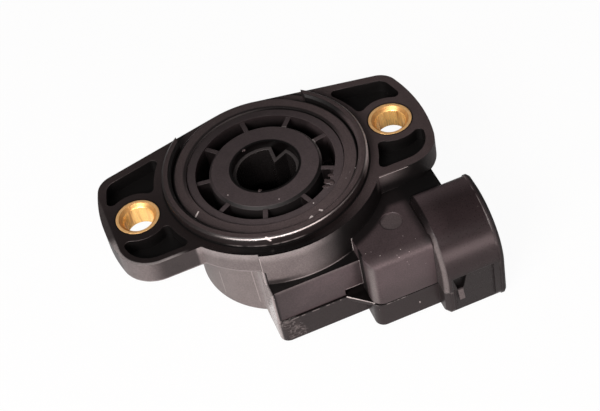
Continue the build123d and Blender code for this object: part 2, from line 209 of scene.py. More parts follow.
class Shader:
    """One material and the short calls that fill its node tree."""

    def __init__(self, name):
        self.material = bpy.data.materials.new(name)
        self.material.use_nodes = True
        self.tree = self.material.node_tree
        self.tree.nodes.clear()
        coordinates = self.add("ShaderNodeTexCoord")
        scaled = self.add("ShaderNodeVectorMath", operation="SCALE")
        scaled.inputs["Scale"].default_value = 1 / MM
        self.join(scaled.inputs[0], coordinates.outputs["Object"])
        self.place = scaled.outputs["Vector"]
        split = self.add("ShaderNodeSeparateXYZ")
        self.join(split.inputs[0], self.place)
        self.x, self.y, self.z = split.outputs
        facing = self.add("ShaderNodeSeparateXYZ")
        self.join(facing.inputs[0], coordinates.outputs["Normal"])
        self.up = self.ramp(facing.outputs["Z"], 0.55, 0.85)
        self.radius = self.span(self.x, self.y)
        # How far a point lies towards the side that the painted light makes paler.
        sideways, forward = PAINTED_LIGHT_SIDE
        nearer = self.math("SUBTRACT", self.times(self.x, sideways), self.times(self.y, forward))
        self.toward_painted_light = self.math("DIVIDE", nearer, self.math("MAXIMUM", self.radius, 1.0))

    def add(self, kind, **settings):
        """Adds a node with the given settings."""
        node = self.tree.nodes.new(kind)
        for key, value in settings.items():
            setattr(node, key, value)
        return node

    def join(self, socket, source):
        """Feeds a socket from another one, or sets it to a plain value."""
        if isinstance(source, NodeSocket):
            self.tree.links.new(source, socket)
        elif socket.type == "RGBA" and len(source) == 3:
            socket.default_value = (*source, 1.0)
        else:
            socket.default_value = source

    def math(self, operation, first, second=0.0):
        """Result of one sum."""
        node = self.add("ShaderNodeMath", operation=operation)
        self.join(node.inputs[0], first)
        self.join(node.inputs[1], second)
        return node.outputs[0]

    def times(self, *factors):
        """Product of all factors."""
        result = factors[0]
        for factor in factors[1:]:
            result = self.math("MULTIPLY", result, factor)
        return result

    def rest(self, mask):
        """What a mask leaves out."""
        return self.math("SUBTRACT", 1.0, mask)

    def span(self, first, second):
        """Length of a step along two axes."""
        return self.math("SQRT", self.math("ADD", self.times(first, first), self.times(second, second)))

    def ramp(self, value, low, high, bottom=0.0, top=1.0):
        """Soft step from bottom to top while the value goes from low to high."""
        node = self.add("ShaderNodeMapRange", interpolation_type="SMOOTHSTEP")
        for socket, source in zip(node.inputs, (value, low, high, bottom, top)):
            self.join(socket, source)
        return node.outputs[0]

    def band(self, value, low, high, soft):
        """Mask of the values between two soft limits."""
        rise = self.ramp(value, low - soft, low + soft)
        return self.times(rise, self.ramp(value, high - soft, high + soft, 1.0, 0.0))

    def noise(self, scale, detail=2.0, vector=None, rough=0.5):
        """Clouds, with their scale per millimetre."""
        node = self.add("ShaderNodeTexNoise")
        self.join(node.inputs["Vector"], self.place if vector is None else vector)
        node.inputs["Scale"].default_value = scale
        node.inputs["Detail"].default_value = detail
        node.inputs["Roughness"].default_value = rough
        return node.outputs["Fac"]

    def rings(self, scale, detail=2.0):
        """Clouds that change with the distance from the axis alone."""
        node = self.add("ShaderNodeTexNoise", noise_dimensions="1D")
        self.join(node.inputs["W"], self.radius)
        node.inputs["Scale"].default_value = scale
        node.inputs["Detail"].default_value = detail
        return node.outputs["Fac"]

    def stretched(self, stretch):
        """Place on the sensor, scaled along each axis."""
        node = self.add("ShaderNodeVectorMath", operation="MULTIPLY")
        self.join(node.inputs[0], self.place)
        node.inputs[1].default_value = stretch
        return node.outputs["Vector"]

    def mix(self, amount, first, second):
        """Colour between two colours."""
        node = self.add("ShaderNodeMix", data_type="RGBA")
        self.join(node.inputs["Factor"], amount)
        for socket, tint in zip(COLOUR_IN, (first, second)):
            self.join(node.inputs[socket], tint)
        return node.outputs[COLOUR_OUT]

    def blend(self, amount, first, second):
        """Value between two values."""
        node = self.add("ShaderNodeMix", data_type="FLOAT")
        self.join(node.inputs["Factor"], amount)
        for socket, value in zip(VALUE_IN, (first, second)):
            self.join(node.inputs[socket], value)
        return node.outputs[VALUE_OUT]

    def shade(self, tint, amount):
        """Colour made darker or lighter by a factor."""
        node = self.add("ShaderNodeMix", data_type="RGBA", blend_type="MULTIPLY")
        node.inputs["Factor"].default_value = 1.0
        grey = self.add("ShaderNodeCombineColor")
        for socket in grey.inputs:
            self.join(socket, amount)
        for socket, part in zip(COLOUR_IN, (tint, grey.outputs[0])):
            self.join(node.inputs[socket], part)
        return node.outputs[COLOUR_OUT]

    def near(self, gap, width):
        """Mask of the points closer than a ragged half width, in millimetres."""
        uneven = self.times(self.math("SUBTRACT", self.noise(7.0), 0.5), 0.5 * width)
        return self.ramp(self.math("ADD", gap, uneven), 0.65 * width, 0.4 * width)

    def dot(self, centre, width):
        """Mask of a small round mark."""
        node = self.add("ShaderNodeVectorMath", operation="DISTANCE")
        self.join(node.inputs[0], self.place)
        node.inputs[1].default_value = centre
        return self.near(node.outputs["Value"], width)

    def streak(self, start, end, width):
        """Mask of a thin line between two points."""
        reach = Vector(end) - Vector(start)
        offset = self.add("ShaderNodeVectorMath", operation="SUBTRACT")
        self.join(offset.inputs[0], self.place)
        offset.inputs[1].default_value = start
        along = self.add("ShaderNodeVectorMath", operation="DOT_PRODUCT")
        self.join(along.inputs[0], offset.outputs[0])
        along.inputs[1].default_value = reach / reach.length_squared
        part = self.add("ShaderNodeClamp")
        self.join(part.inputs["Value"], along.outputs["Value"])
        foot = self.add("ShaderNodeVectorMath", operation="SCALE")
        foot.inputs[0].default_value = reach
        self.join(foot.inputs["Scale"], part.outputs[0])
        gap = self.add("ShaderNodeVectorMath", operation="DISTANCE")
        self.join(gap.inputs[0], offset.outputs[0])
        self.join(gap.inputs[1], foot.outputs[0])
        return self.near(gap.outputs["Value"], width)

    def past_corner(self, first, second):
        """Distance beyond two edges that meet in a rounded corner."""
        return self.span(self.math("MAXIMUM", first, 0.0), self.math("MAXIMUM", second, 0.0))

    def most(self, masks):
        """Largest of several masks."""
        result = masks[0]
        for mask in masks[1:]:
            result = self.math("MAXIMUM", result, mask)
        return result

    def dust(self, spacing, size):
        """Mask of scattered round specks, in millimetres."""
        node = self.add("ShaderNodeTexVoronoi")
        self.join(node.inputs["Vector"], self.place)
        node.inputs["Scale"].default_value = 1 / spacing
        near = self.ramp(node.outputs["Distance"], size / spacing, 0.4 * size / spacing)
        return self.times(near, self.ramp(self.noise(0.21, 1.0), 0.52, 0.56))

    def bump(self, height, depth, edge):
        """Fine relief over softly rounded edges."""
        rounded = self.add("ShaderNodeBevel", samples=6)
        self.join(rounded.inputs["Radius"], edge)
        node = self.add("ShaderNodeBump")
        node.inputs["Strength"].default_value = 1.0
        node.inputs["Distance"].default_value = depth
        self.join(node.inputs["Height"], height)
        self.join(node.inputs["Normal"], rounded.outputs[0])
        return node.outputs[0]

    def finish(self, tint, rough, normal, metallic=0.0, gloss=0.5):
        """Closes the tree and returns the material."""
        surface = self.add("ShaderNodeBsdfPrincipled")
        self.join(surface.inputs["Base Color"], tint)
        self.join(surface.inputs["Roughness"], rough)
        self.join(surface.inputs["Normal"], normal)
        surface.inputs["Metallic"].default_value = metallic
        surface.inputs["Specular IOR Level"].default_value = gloss
        output = self.add("ShaderNodeOutputMaterial")
        self.join(output.inputs["Surface"], surface.outputs[0])
        return self.material


def smooth_curves():
    """Node group that joins the facets of a solid and smooths all but its sharp edges."""
    group = bpy.data.node_groups.new("smooth_curves", "GeometryNodeTree")
    group.interface.new_socket("Geometry", in_out="INPUT", socket_type="NodeSocketGeometry")
    group.interface.new_socket("Geometry", in_out="OUTPUT", socket_type="NodeSocketGeometry")
    nodes, links = group.nodes, group.links
    start = nodes.new("NodeGroupInput")
    joined = nodes.new("GeometryNodeMergeByDistance")
    joined.inputs["Distance"].default_value = 1e-6
    smooth = nodes.new("GeometryNodeSetShadeSmooth")
    bend = nodes.new("GeometryNodeInputMeshEdgeAngle")
    sharp = nodes.new("FunctionNodeCompare")
    sharp.inputs[1].default_value = SHARP_BEND
    crease = nodes.new("GeometryNodeSetShadeSmooth")
    crease.domain = "EDGE"
    crease.inputs["Shade Smooth"].default_value = False
    end = nodes.new("NodeGroupOutput")
    links.new(start.outputs[0], joined.inputs["Geometry"])
    links.new(joined.outputs[0], smooth.inputs["Geometry"])
    links.new(smooth.outputs[0], crease.inputs["Geometry"])
    links.new(bend.outputs["Unsigned Angle"], sharp.inputs[0])
    links.new(sharp.outputs[0], crease.inputs["Selection"])
    links.new(crease.outputs[0], end.inputs[0])
    return group


def dress(name, material):
    """Gives a solid its material and smooth curved faces."""
    node = NODES[name]
    node.data.materials.clear()
    node.data.materials.append(material)
    group = bpy.data.node_groups.get("smooth_curves") or smooth_curves()
    node.modifiers.new("smooth_curves", "NODES").node_group = group


def mottle(shader, spread):
    """Faint clouds and fine grain of a moulded colour."""
    clouds = shader.ramp(shader.noise(0.45, 4.0), 0.3, 0.7, 1 - 0.3 * spread, 1 + 0.3 * spread)
    grain = shader.ramp(shader.noise(4.5, 3.0, rough=0.7), 0.3, 0.7, 1 - spread, 1 + spread)
    return shader.times(clouds, grain)


def past_ear_corner(s):
    """Distance beyond the near rounded corner of an ear."""
    across, along = EAR_CORNER
    outward = s.math("SUBTRACT", s.math("ABSOLUTE", s.x), across)
    return s.past_corner(outward, s.math("SUBTRACT", along, s.y))


def from_bush(s):
    """Distance from the axis of the nearer bush."""
    return s.span(s.math("SUBTRACT", s.math("ABSOLUTE", s.x), BUSH_OUT), s.y)


def ear_pockets(s):
    """Mask of the recesses beside the bushes."""
    across = s.math("ABSOLUTE", s.x)
    slanted = s.math("ADD", s.times(across, EAR_SLANT[0]), s.times(s.y, EAR_SLANT[1]))
    outward = s.math("SUBTRACT", across, EAR_FAR_CORNER)
    past_far_corner = s.past_corner(outward, s.math("SUBTRACT", slanted, EAR_SLANT_REACH))
    inside = s.times(s.ramp(past_ear_corner(s), 4.85, 4.65), s.ramp(past_far_corner, 2.65, 2.45))
    return s.times(inside, s.band(s.radius, 16.4, 24.5, 0.1), s.band(s.z, -2.3, -0.06, 0.03))


def collar_hollows(s):
    """Masks of the painted shade in the bore, in the groove inside the lip, in the rotor's mouth and at
    the foot of the lip.
    """
    bore = s.times(s.ramp(s.radius, 13.3, 13.1), s.ramp(s.z, 0.2, 0.1))
    ring = s.times(s.ramp(s.radius, 13.4, 13.6), s.ramp(s.radius, 14.0, 13.92))
    foot = s.times(ring, s.band(s.z, 0.3, 0.85, 0.06))
    far_or_left = s.most([s.ramp(s.x, -8.0, -12.0), s.ramp(s.y, 0.0, 5.0)])
    inner = s.times(s.band(s.radius, 13.45, 14.32, 0.06), far_or_left, s.ramp(s.z, 0.2, 0.3))
    groove = s.times(s.most([foot, inner]), s.ramp(s.y, 11.2, 10.2))
    mouth = s.times(s.ramp(s.radius, 12.3, 12.1), s.ramp(s.y, -3.0, 4.0), s.ramp(s.z, 0.2, 0.3), 0.8)
    low = s.times(s.ramp(s.z, 0.4, 0.2), s.ramp(s.z, -0.2, -0.1))
    lip_foot = s.times(s.band(s.radius, 15.2, 15.55, 0.05), low)
    return [bore, groove, mouth, lip_foot]


def block_hollows(s):
    """Masks of the painted shade in the corners around the terminal block and the plug shroud."""
    web = s.times(s.ramp(s.x, 16.2, 16.8), s.ramp(s.y, -13.4, -12.9), s.ramp(s.z, -3.4, -3.5))
    step = s.times(s.band(s.x, 6.4, 6.85, 0.1), s.band(s.y, -19.6, -18.0, 0.3))
    ledge = s.times(s.up, s.band(s.z, -6.4, -6.05, 0.05), s.ramp(s.x, 6.75, 6.65))
    top = s.times(s.up, s.band(s.z, -3.9, -3.3, 0.05), s.ramp(s.x, 6.6, 6.7), 0.92)
    corner = s.times(s.most([s.ramp(s.radius, 19.3, 18.3), s.ramp(s.y, -13.3, -12.3)]), top)
    notch = s.times(
        s.band(s.x, 3.7, 6.8, 0.03), s.ramp(s.y, -17.84, -17.78), s.ramp(s.z, -11.37, -11.42)
    )
    catch = s.times(
        s.band(s.x, 17.8, 20.3, 0.03), s.band(s.y, -24.15, -23.35, 0.05), s.band(s.z, -12.92, -9.9, 0.04)
    )
    latch = s.times(
        s.band(s.x, 17.85, 24.3, 0.05), s.band(s.y, -24.45, -24.0, 0.05), s.band(s.z, -10.4, -9.95, 0.12)
    )
    return [web, step, ledge, corner, notch, catch, latch]


def housing_hollows(s):
    """Mask of the painted shade in the places that lie deep between the walls of the housing."""
    return s.most(collar_hollows(s) + block_hollows(s) + [ear_pockets(s)])


def housing_marks_and_highlights(s):
    """Mask of the pale nicks, burrs and specks on the housing, and of painted highlights along its
    edges.
    """
    lines = [
        s.streak((-12.44, -4.82, 0.62), (-11.75, -4.05, 0.62), 0.2),
        s.streak((2.02, -13.32, 0.62), (2.42, -12.96, 0.62), 0.4),
        s.streak((3.88, -12.30, 0.62), (4.16, -12.62, 0.62), 0.26),
        # The nick in the lip's edge, drawn pale partly as a painted highlight; the lines after it are
        # painted highlights along edges that catch the light.
        s.streak((-4.85, -14.3, 1.5), (-4.42, -14.62, 1.1), 0.32),
        s.streak((6.7, -15.75, -3.75), (6.7, -15.75, -6.05), 0.07),
        s.streak((6.68, -17.88, -6.4), (6.68, -17.88, -11.3), 0.05),
        s.streak((4.0, -17.86, -11.38), (6.6, -17.86, -11.38), 0.1),
        s.times(s.streak((13.9, -10.0, -0.25), (18.4, -10.0, -0.25), 0.07), 0.7),
        s.times(s.streak((-6.8, -15.69, -0.5), (-6.8, -15.69, -6.1), 0.12), 0.5),
    ]
    # The four dots on the edge lines near x = 6.7 are painted highlights; the rest are specks and nicks.
    dots = [
        ((5.70, -14.73, 1.3), 0.26), ((-9.36, -10.77, 0.62), 0.2), ((6.75, -15.9, -3.6), 0.22),
        ((6.7, -15.75, -6.15), 0.26), ((6.67, -17.86, -6.35), 0.24), ((6.6, -17.86, -11.5), 0.26),
        ((13.36, -18.92, -3.6), 0.2), ((14.72, -20.19, -3.6), 0.14), ((9.07, -20.64, -3.65), 0.2),
        ((12.08, -20.9, -3.75), 0.18), ((7.4, -19.38, -3.6), 0.2), ((8.2, -19.45, -3.6), 0.16),
        ((11.3, -21.35, -4.05), 0.16), ((11.45, -21.65, -4.35), 0.18), ((13.1, -21.5, -4.2), 0.16),
        ((12.29, -6.82, 1.5), 0.2), ((11.45, -7.28, 0.62), 0.24), ((12.02, -8.7, 1.5), 0.2),
        ((10.72, -9.96, 0.62), 0.16), ((8.89, -7.3, 0.62), 0.3), ((9.5, -8.47, 0.62), 0.2),
        ((10.46, -7.67, 0.62), 0.16), ((8.62, -11.73, 1.5), 0.2), ((12.45, -21.99, -5.5), 0.16),
        ((12.63, -22.0, -6.2), 0.14), ((15.14, -22.0, -7.45), 0.12),
    ]
    # Painted highlights: broken light lines at the foot of the lip and along the shroud's end bead.
    broken = s.ramp(s.noise(0.7, 3.0), 0.4, 0.65)
    near_left = s.times(s.ramp(s.y, -11.0, -13.0), s.ramp(s.x, 2.0, -1.0))
    foot = s.times(s.band(s.radius, 15.25, 15.42, 0.04), s.band(s.z, 0.08, 0.3, 0.04))
    foot = s.times(foot, near_left, broken, 0.22)
    bead = s.times(s.band(s.x, 25.2, 25.3, 0.03), s.ramp(s.z, -12.0, -10.0), broken, 0.16)
    return s.most(lines + [foot, bead] + [s.dot(place, 0.5 * width) for place, width in dots])


def flange_face(s, look):
    """Colour of the flat flange and its ears, with painted light that makes it paler on the right and
    towards the far side, a painted highlight along the left rim and painted shade in the gap round each
    bush.
    """
    face = s.mix(s.ramp(s.x, 5.0, 13.0), look.land, look.collar)
    face = s.mix(s.ramp(s.y, -2.0, 9.0, 0.0, 0.3), face, look.collar)
    near_rim = s.ramp(past_ear_corner(s), 4.85, 5.1)
    end_rim = s.ramp(s.radius, 24.95, 25.1, 0.0, 0.5)
    left_ear = s.times(s.ramp(s.y, -1.8, -4.3, 0.12, 1.0), s.ramp(s.x, -15.0, -18.0))
    rim = s.times(s.most([near_rim, end_rim]), left_ear)
    face = s.mix(s.times(rim, 0.8), face, look.painted_highlight)
    return s.mix(s.ramp(from_bush(s), 3.5, 3.38), face, look.painted_shade)


def flange_wall(s, look):
    """Colour of the outer wall, with painted light high on the left, a painted glow on the right ear,
    painted highlight lines along its lower edges and painted shade on the ears, low down and beside the
    block.
    """
    upper = s.times(s.ramp(s.z, -1.8, -0.3, 0.0, 0.5), s.ramp(s.x, -14.6, -14.2))
    wall = s.mix(upper, look.wall, look.painted_highlight)
    ear = s.times(s.ramp(s.x, -21.8, -19.0), s.ramp(s.x, -14.0, -14.4), s.ramp(s.y, -10.5, -10.2))
    wall = s.mix(s.times(ear, 0.85), wall, look.lip)
    end = s.times(s.ramp(s.x, -22.5, -23.5), s.ramp(s.y, -6.5, -4.5), 0.92)
    wall = s.mix(end, wall, look.lip)
    low = s.times(s.ramp(s.z, -4.9, -5.7), s.ramp(s.x, 1.0, -5.0))
    wall = s.mix(s.most([s.ramp(s.x, -1.5, 6.0), s.times(low, 0.8)]), wall, look.painted_shade)
    glow = s.times(s.ramp(s.x, 13.0, 13.4), s.ramp(s.x, 19.5, 14.5), s.ramp(s.z, -2.7, -0.5))
    wall = s.mix(s.times(glow, 0.62), wall, look.wall)
    skirt = s.times(s.ramp(s.z, -3.36, -3.46, 0.0, 0.45), s.ramp(s.x, -6.8, -7.0))
    wall = s.mix(skirt, wall, look.painted_highlight)
    foot = s.times(s.ramp(s.z, -5.9, -6.05), s.ramp(s.radius, 16.8, 17.0), s.band(s.x, -3.5, 5.0, 1.5))
    wall = s.mix(s.times(foot, 0.6), wall, look.painted_highlight)
    return s.mix(s.ramp(s.x, 21.0, 24.0, 0.0, 0.8), wall, look.lip)


def block_crown(s):
    """Mask of the place where the block's top begins to bend down to its front."""
    bend = s.times(s.band(s.y, -21.4, -20.4, 0.35), s.ramp(s.z, -4.35, -4.1))
    return s.times(bend, s.band(s.x, 7.5, 16.5, 0.5))


def block_face(s, look):
    """Colour of the terminal block, with painted highlights along its front edges and painted shade on
    the panel, low down, on its top and beside the shoulder.
    """
    panel = s.ramp(s.x, 6.7, 6.5)
    # Painted shade: the panel darker to the left and near its right end, the block darker low down and
    # on its top.
    left = s.times(panel, s.ramp(s.x, 1.0, -6.0, 0.0, 0.55))
    lower = s.ramp(s.z, -7.0, -12.0, 0.0, 0.4)
    tint = s.mix(s.most([left, lower, s.times(s.up, 0.25)]), look.block, look.lip)
    tint = s.mix(s.times(panel, s.ramp(s.x, 5.0, 6.2, 0.0, 0.6)), tint, look.lip)
    # Painted highlights: a faint one low on the front edge, and lines on the left upright edge and the
    # panel's top edge; the gate mark's disc is its own paler tone.
    edge = s.times(s.band(s.z, -4.85, -4.3, 0.3), s.ramp(s.y, -21.4, -21.65))
    upright = s.times(s.band(s.x, 6.8, 7.5, 0.2), s.ramp(s.y, -19.0, -20.2), s.ramp(s.z, -4.0, -5.5))
    top_line = s.times(panel, s.ramp(s.z, -6.8, -6.4, 0.0, 0.5))
    from_gate = s.span(s.math("SUBTRACT", s.x, GATE_MARK[0]), s.math("SUBTRACT", s.y, GATE_MARK[1]))
    disc = s.times(s.up, s.ramp(from_gate, 1.62, 1.5), 0.35)
    # Painted shade over the crown, where the top bends down to the front.
    tint = s.mix(s.times(block_crown(s), 0.3), tint, look.lip)
    tint = s.mix(s.times(edge, 0.04), tint, look.painted_highlight)
    tint = s.mix(s.most([upright, top_line, disc]), tint, look.wall)
    # Painted shade on the top beside the shoulder and in the corner at the shroud.
    beside = s.times(s.up, s.ramp(s.x, 15.2, 16.5, 0.0, 0.7))
    corner = s.times(s.ramp(s.x, 16.42, 16.55), s.ramp(s.y, -22.3, -22.05))
    return s.mix(s.most([beside, corner]), tint, look.painted_shade)


def plug_face(s, look):
    """Colour of the plug shroud, with painted light on its top, shoulder and latch ramp, and painted
    shade along its left edge towards the back, under the latch and in its mouth.
    """
    pale = s.math("ADD", s.ramp(s.x, 20.5, 17.5, 0.0, 0.25), s.ramp(s.y, -17.5, -14.0, 0.0, 0.75))
    tint = s.mix(s.times(s.up, pale), look.shroud, look.block)
    step = s.times(s.ramp(s.x, 17.4, 17.2), s.ramp(s.y, -20.5, -18.5, 0.0, 0.85))
    tint = s.mix(step, tint, look.painted_shade)
    shoulder = s.times(s.band(s.x, 16.5, 17.2, 0.15), s.ramp(s.x, 16.62, 16.8, 0.4, 1.0))
    tint = s.mix(s.times(shoulder, s.ramp(s.y, -20.0, -22.0)), tint, look.wall)
    under_latch = s.times(s.ramp(s.z, -9.0, -10.5), s.ramp(s.x, 17.4, 17.8), 0.6)
    tint = s.mix(under_latch, tint, look.painted_shade)
    heel = s.times(s.ramp(s.z, -13.2, -13.4), s.ramp(s.x, 17.9, 17.3), 0.6)
    tint = s.mix(heel, tint, look.wall)
    chute = s.times(
        s.band(s.x, 18.6, 20.0, 0.05), s.band(s.z, -14.8, -12.95, 0.05), s.ramp(s.y, -24.28, -24.34)
    )
    tint = s.mix(s.times(chute, 0.7), tint, look.wall)
    return s.mix(s.ramp(s.x, 25.4, 25.65, 0.0, 0.8), tint, look.painted_shade)


def lip_highlights(s, lip):
    """Mask of the painted highlight along the near edge of the lip and of the painted glint on its
    right.
    """
    line = s.times(lip, s.band(s.radius, 15.1, 15.22, 0.03), s.ramp(s.y, -9.5, -13.5))
    line = s.times(line, s.ramp(s.x, -9.0, -4.0, 0.35, 0.6), s.ramp(s.x, 6.0, 2.0, 0.12, 1.0))
    right = s.times(s.ramp(s.x, 11.5, 14.5), s.ramp(s.y, 9.0, 5.0))
    glint = s.times(lip, s.ramp(s.radius, 14.95, 15.15), right, 0.4)
    return s.most([line, glint])


def housing_plastic(look, marks):
    """Black moulding with smooth faces, matt collar and textured walls, with painted light and shade
    laid over it.
    """
    s = Shader("housing_plastic")
    front = s.times(s.ramp(s.y, -10.2, -10.4), s.ramp(s.radius, 17.2, 17.3))
    land = s.times(s.up, s.band(s.z, -2.7, 0.2, 0.1), s.rest(front))
    collar = s.times(s.up, s.ramp(s.z, 0.2, 0.35), s.ramp(s.radius, 13.95, 13.85))
    lip = s.times(s.ramp(s.z, 0.05, 0.15), s.ramp(s.radius, 13.6, 13.9))
    crest = s.times(lip, s.up, s.ramp(s.radius, 15.0, 14.9))
    shroud = s.ramp(s.x, 16.52, 16.59)
    hollows = housing_hollows(s)
    tint = s.mix(front, flange_wall(s, look), s.mix(shroud, block_face(s, look), plug_face(s, look)))
    tint = s.mix(land, tint, flange_face(s, look))
    tint = s.mix(lip, tint, s.mix(s.ramp(s.radius, 14.2, 14.6), look.collar, look.land))
    # Painted light: the collar and the lip's crest are paler towards the near right and darker towards
    # the far left.
    painted_light = s.math("ADD", s.times(s.toward_painted_light, 0.42), 1.12)
    tint = s.mix(s.most([collar, s.times(crest, 0.75)]), tint, s.shade(look.collar, painted_light))
    # Painted highlights on the lip, in the pale tone of the scratches.
    tint = s.mix(lip_highlights(s, lip), tint, marks.scratch_and_highlight)
    # Painted shade in the hollows and on the flange face under the lip's near side.
    under_lip = s.times(land, s.ramp(s.y, -12.5, -14.2, 0.0, 0.85), s.ramp(s.x, 4.0, 0.0))
    tint = s.mix(s.most([hollows, under_lip]), tint, look.painted_shade)
    tint = s.shade(tint, mottle(s, 0.2))
    # Specks and nicks, with the painted edge highlights, in the pale tone.
    specks = s.most([housing_marks_and_highlights(s), s.times(s.dust(2.1, 0.06), front)])
    tint = s.mix(s.times(specks, 0.6), tint, marks.scratch_and_highlight)
    rough = s.blend(front, 0.48, s.blend(shroud, 0.40, 0.29))
    rough = s.blend(land, rough, s.ramp(s.y, -9.0, -13.0, 0.34, 0.18))
    near = s.times(s.ramp(s.y, -8.0, -12.0), s.ramp(s.x, 9.0, 4.0))
    shine = s.times(near, s.band(s.radius, 15.12, 15.24, 0.03))
    rough = s.blend(lip, rough, s.blend(shine, 0.42, 0.13))
    plug_mouth = s.ramp(s.x, 25.3, 25.5)
    for place, amount in ((collar, 0.58), (hollows, 0.48), (block_crown(s), 0.62), (plug_mouth, 0.6)):
        rough = s.blend(place, rough, amount)
    rough = s.math("ADD", rough, s.ramp(s.noise(5.0, 3.0), 0.3, 0.7, -0.02, 0.02))
    smooth = s.most([land, lip, s.times(shroud, 0.7)])
    grain = s.times(s.noise(6.5, 4.0, rough=0.65), s.blend(smooth, 1.0, 0.15))
    turned = s.times(s.rings(5.5, 3.0), s.times(collar, 1.6))
    edge = s.times(s.rest(s.most([hollows, s.times(land, 0.85)])), look.edge)
    relief = s.bump(s.math("ADD", grain, turned), MOULD_GRAIN, edge)
    return s.finish(tint, rough, relief, gloss=HOUSING_GLOSS)


def case_plastic(look, marks):
    """Black moulding of the cup and the tray, with a scuffed corner, painted shade in its recesses, a
    painted reflection on the tray's left side and a painted highlight on the gusset's edge.
    """
    s = Shader("case_plastic")
    tray = s.ramp(s.y, -13.2, -13.6)
    # Painted shade inside the cup and on the gusset's top; the tray's seam is a dark joint with painted
    # shade in it.
    inside = s.times(s.ramp(s.radius, 12.3, 12.1), s.ramp(s.z, -16.9, -16.5))
    gusset = s.times(s.up, s.band(s.x, 3.7, 6.9, 0.05), s.ramp(s.y, -18.0, -18.1))
    gusset = s.times(gusset, s.ramp(s.z, -13.0, -12.9))
    tint = s.mix(tray, look.case, look.tray)
    seam = s.times(tray, s.ramp(s.z, -12.86, -12.78, 0.0, 0.8))
    tint = s.mix(s.most([inside, gusset, seam]), tint, look.painted_shade)
    # Painted reflection: the tray's left side is set pale.
    side = s.times(s.ramp(s.x, -6.5, -6.8), s.ramp(s.y, -10.5, -11.5))
    tint = s.mix(side, tint, look.painted_highlight)
    tint = s.shade(tint, mottle(s, 0.16))
    patch = s.streak((-5.6, -18.1, -13.0), (-4.2, -18.1, -16.9), 2.6)
    creases = s.noise(0.75, 3.0, s.stretched((1.0, 1.0, 1.7)), 0.55)
    folds = s.math("ABSOLUTE", s.math("SUBTRACT", creases, 0.5))
    scuff = s.times(patch, s.ramp(folds, 0.06, 0.015))
    dashes = s.ramp(s.noise(1.1, 3.0, s.stretched((1.0, 1.0, 0.05))), 0.53, 0.6)
    burrs_and_edge_highlight = s.most([
        # The first line is a painted highlight on the gusset's edge; the others are burrs along the
        # seam, parting lines on the cup and specks.
        s.streak((3.85, -18.12, -12.72), (6.9, -21.1, -12.72), 0.18),
        s.times(tray, s.band(s.z, -12.92, -12.74, 0.03), dashes, 0.25),
        s.times(s.streak((-11.62, -5.73, -11.2), (-11.56, -5.84, -16.1), 0.14), 0.3),
        s.times(s.streak((-7.7, -10.41, -5.0), (-7.5, -10.56, -15.5), 0.14), 0.25),
        s.dot((13.42, -22.0, -15.2), 0.14),
        s.dot((13.42, -22.0, -15.4), 0.14),
    ])
    torn = s.math("ADD", s.times(scuff, 0.075), s.times(patch, 0.012))
    specks = s.most([torn, s.times(burrs_and_edge_highlight, 0.5), s.times(s.dust(2.6, 0.05), tray)])
    tint = s.mix(specks, tint, marks.scratch_and_highlight)
    rough = s.blend(tray, 0.46, s.blend(side, 0.36, 0.14))
    rough = s.blend(patch, rough, 0.7)
    height = s.math("ADD", s.noise(6.5, 4.0, rough=0.65), s.times(scuff, 4.0))
    return s.finish(tint, rough, s.bump(height, MOULD_GRAIN, look.edge), gloss=CASE_GLOSS)


def rotor_plastic(look, marks):
    """Matt black wheel with faint turning lines, with painted light on its tops and rim, painted shade
    deep in its slots and a painted highlight on the hub's edge.
    """
    s = Shader("rotor_plastic")
    face = s.times(s.up, s.ramp(s.z, -1.2, -0.8), s.ramp(s.radius, 5.3, 5.45))
    # Painted light: the tops grow paler towards the near right, more so out on the rim.
    painted_light = s.math("ADD", s.times(s.toward_painted_light, s.ramp(s.radius, 8.0, 11.0, 0.22, 0.5)), 1.0)
    # Painted light on the rim's walls at the right and on the upper slot walls; the rest of the walls
    # take painted shade.
    right = s.times(s.ramp(s.x, 3.0, 7.0), s.ramp(s.y, 7.5, 4.0))
    rim = s.times(s.ramp(s.radius, 9.4, 10.2), right, s.ramp(s.z, -2.0, 0.0, 0.15, 0.8))
    spokes = s.band(s.radius, 8.55, 10.25, 0.08)
    lit_part = s.blend(spokes, s.ramp(s.z, -2.2, 0.2, 0.03, 0.36), s.blend(s.up, 0.12, 0.7))
    slots = s.times(s.band(s.radius, 8.38, 10.6, 0.08), lit_part)
    walls = s.mix(s.most([rim, slots]), look.painted_shade, look.hub)
    tint = s.mix(face, walls, s.shade(look.hub, painted_light))
    # Painted highlight on the hub's edge at the far right.
    far_right = s.times(s.ramp(s.x, 1.0, 5.0), s.ramp(s.y, -4.0, 0.0))
    ring = s.times(s.band(s.radius, 8.12, 8.5, 0.06), far_right, s.ramp(s.z, -0.4, -0.1))
    tint = s.mix(s.times(ring, 0.14), tint, marks.scratch_and_highlight)
    shadow = s.times(s.band(s.radius, 8.03, 8.38, 0.05), s.ramp(s.y, -1.5, -4.0))
    tint = s.shade(s.mix(s.times(shadow, 0.95), tint, look.painted_shade), mottle(s, 0.16))
    specks = s.most([
        s.dot((3.63, -10.42, 0.35), 0.18),
        s.dot((-0.49, -7.25, 0.35), 0.14),
        s.dot((-6.81, -2.85, 0.35), 0.14),
    ])
    tint = s.mix(s.times(specks, 0.7), tint, marks.scratch_and_highlight)
    rough = s.blend(face, 0.3, s.ramp(s.noise(1.6, 3.0), 0.3, 0.7, 0.54, 0.62))
    rough = s.blend(s.band(s.radius, 8.03, 8.6, 0.05), rough, 0.6)
    height = s.math("ADD", s.noise(11.0, 3.0), s.times(s.rings(6.0, 3.0), face, 0.9))
    edge = s.times(face, s.rest(shadow), look.edge)
    return s.finish(tint, rough, s.bump(height, TURNED_LINES, edge), gloss=ROTOR_GLOSS)


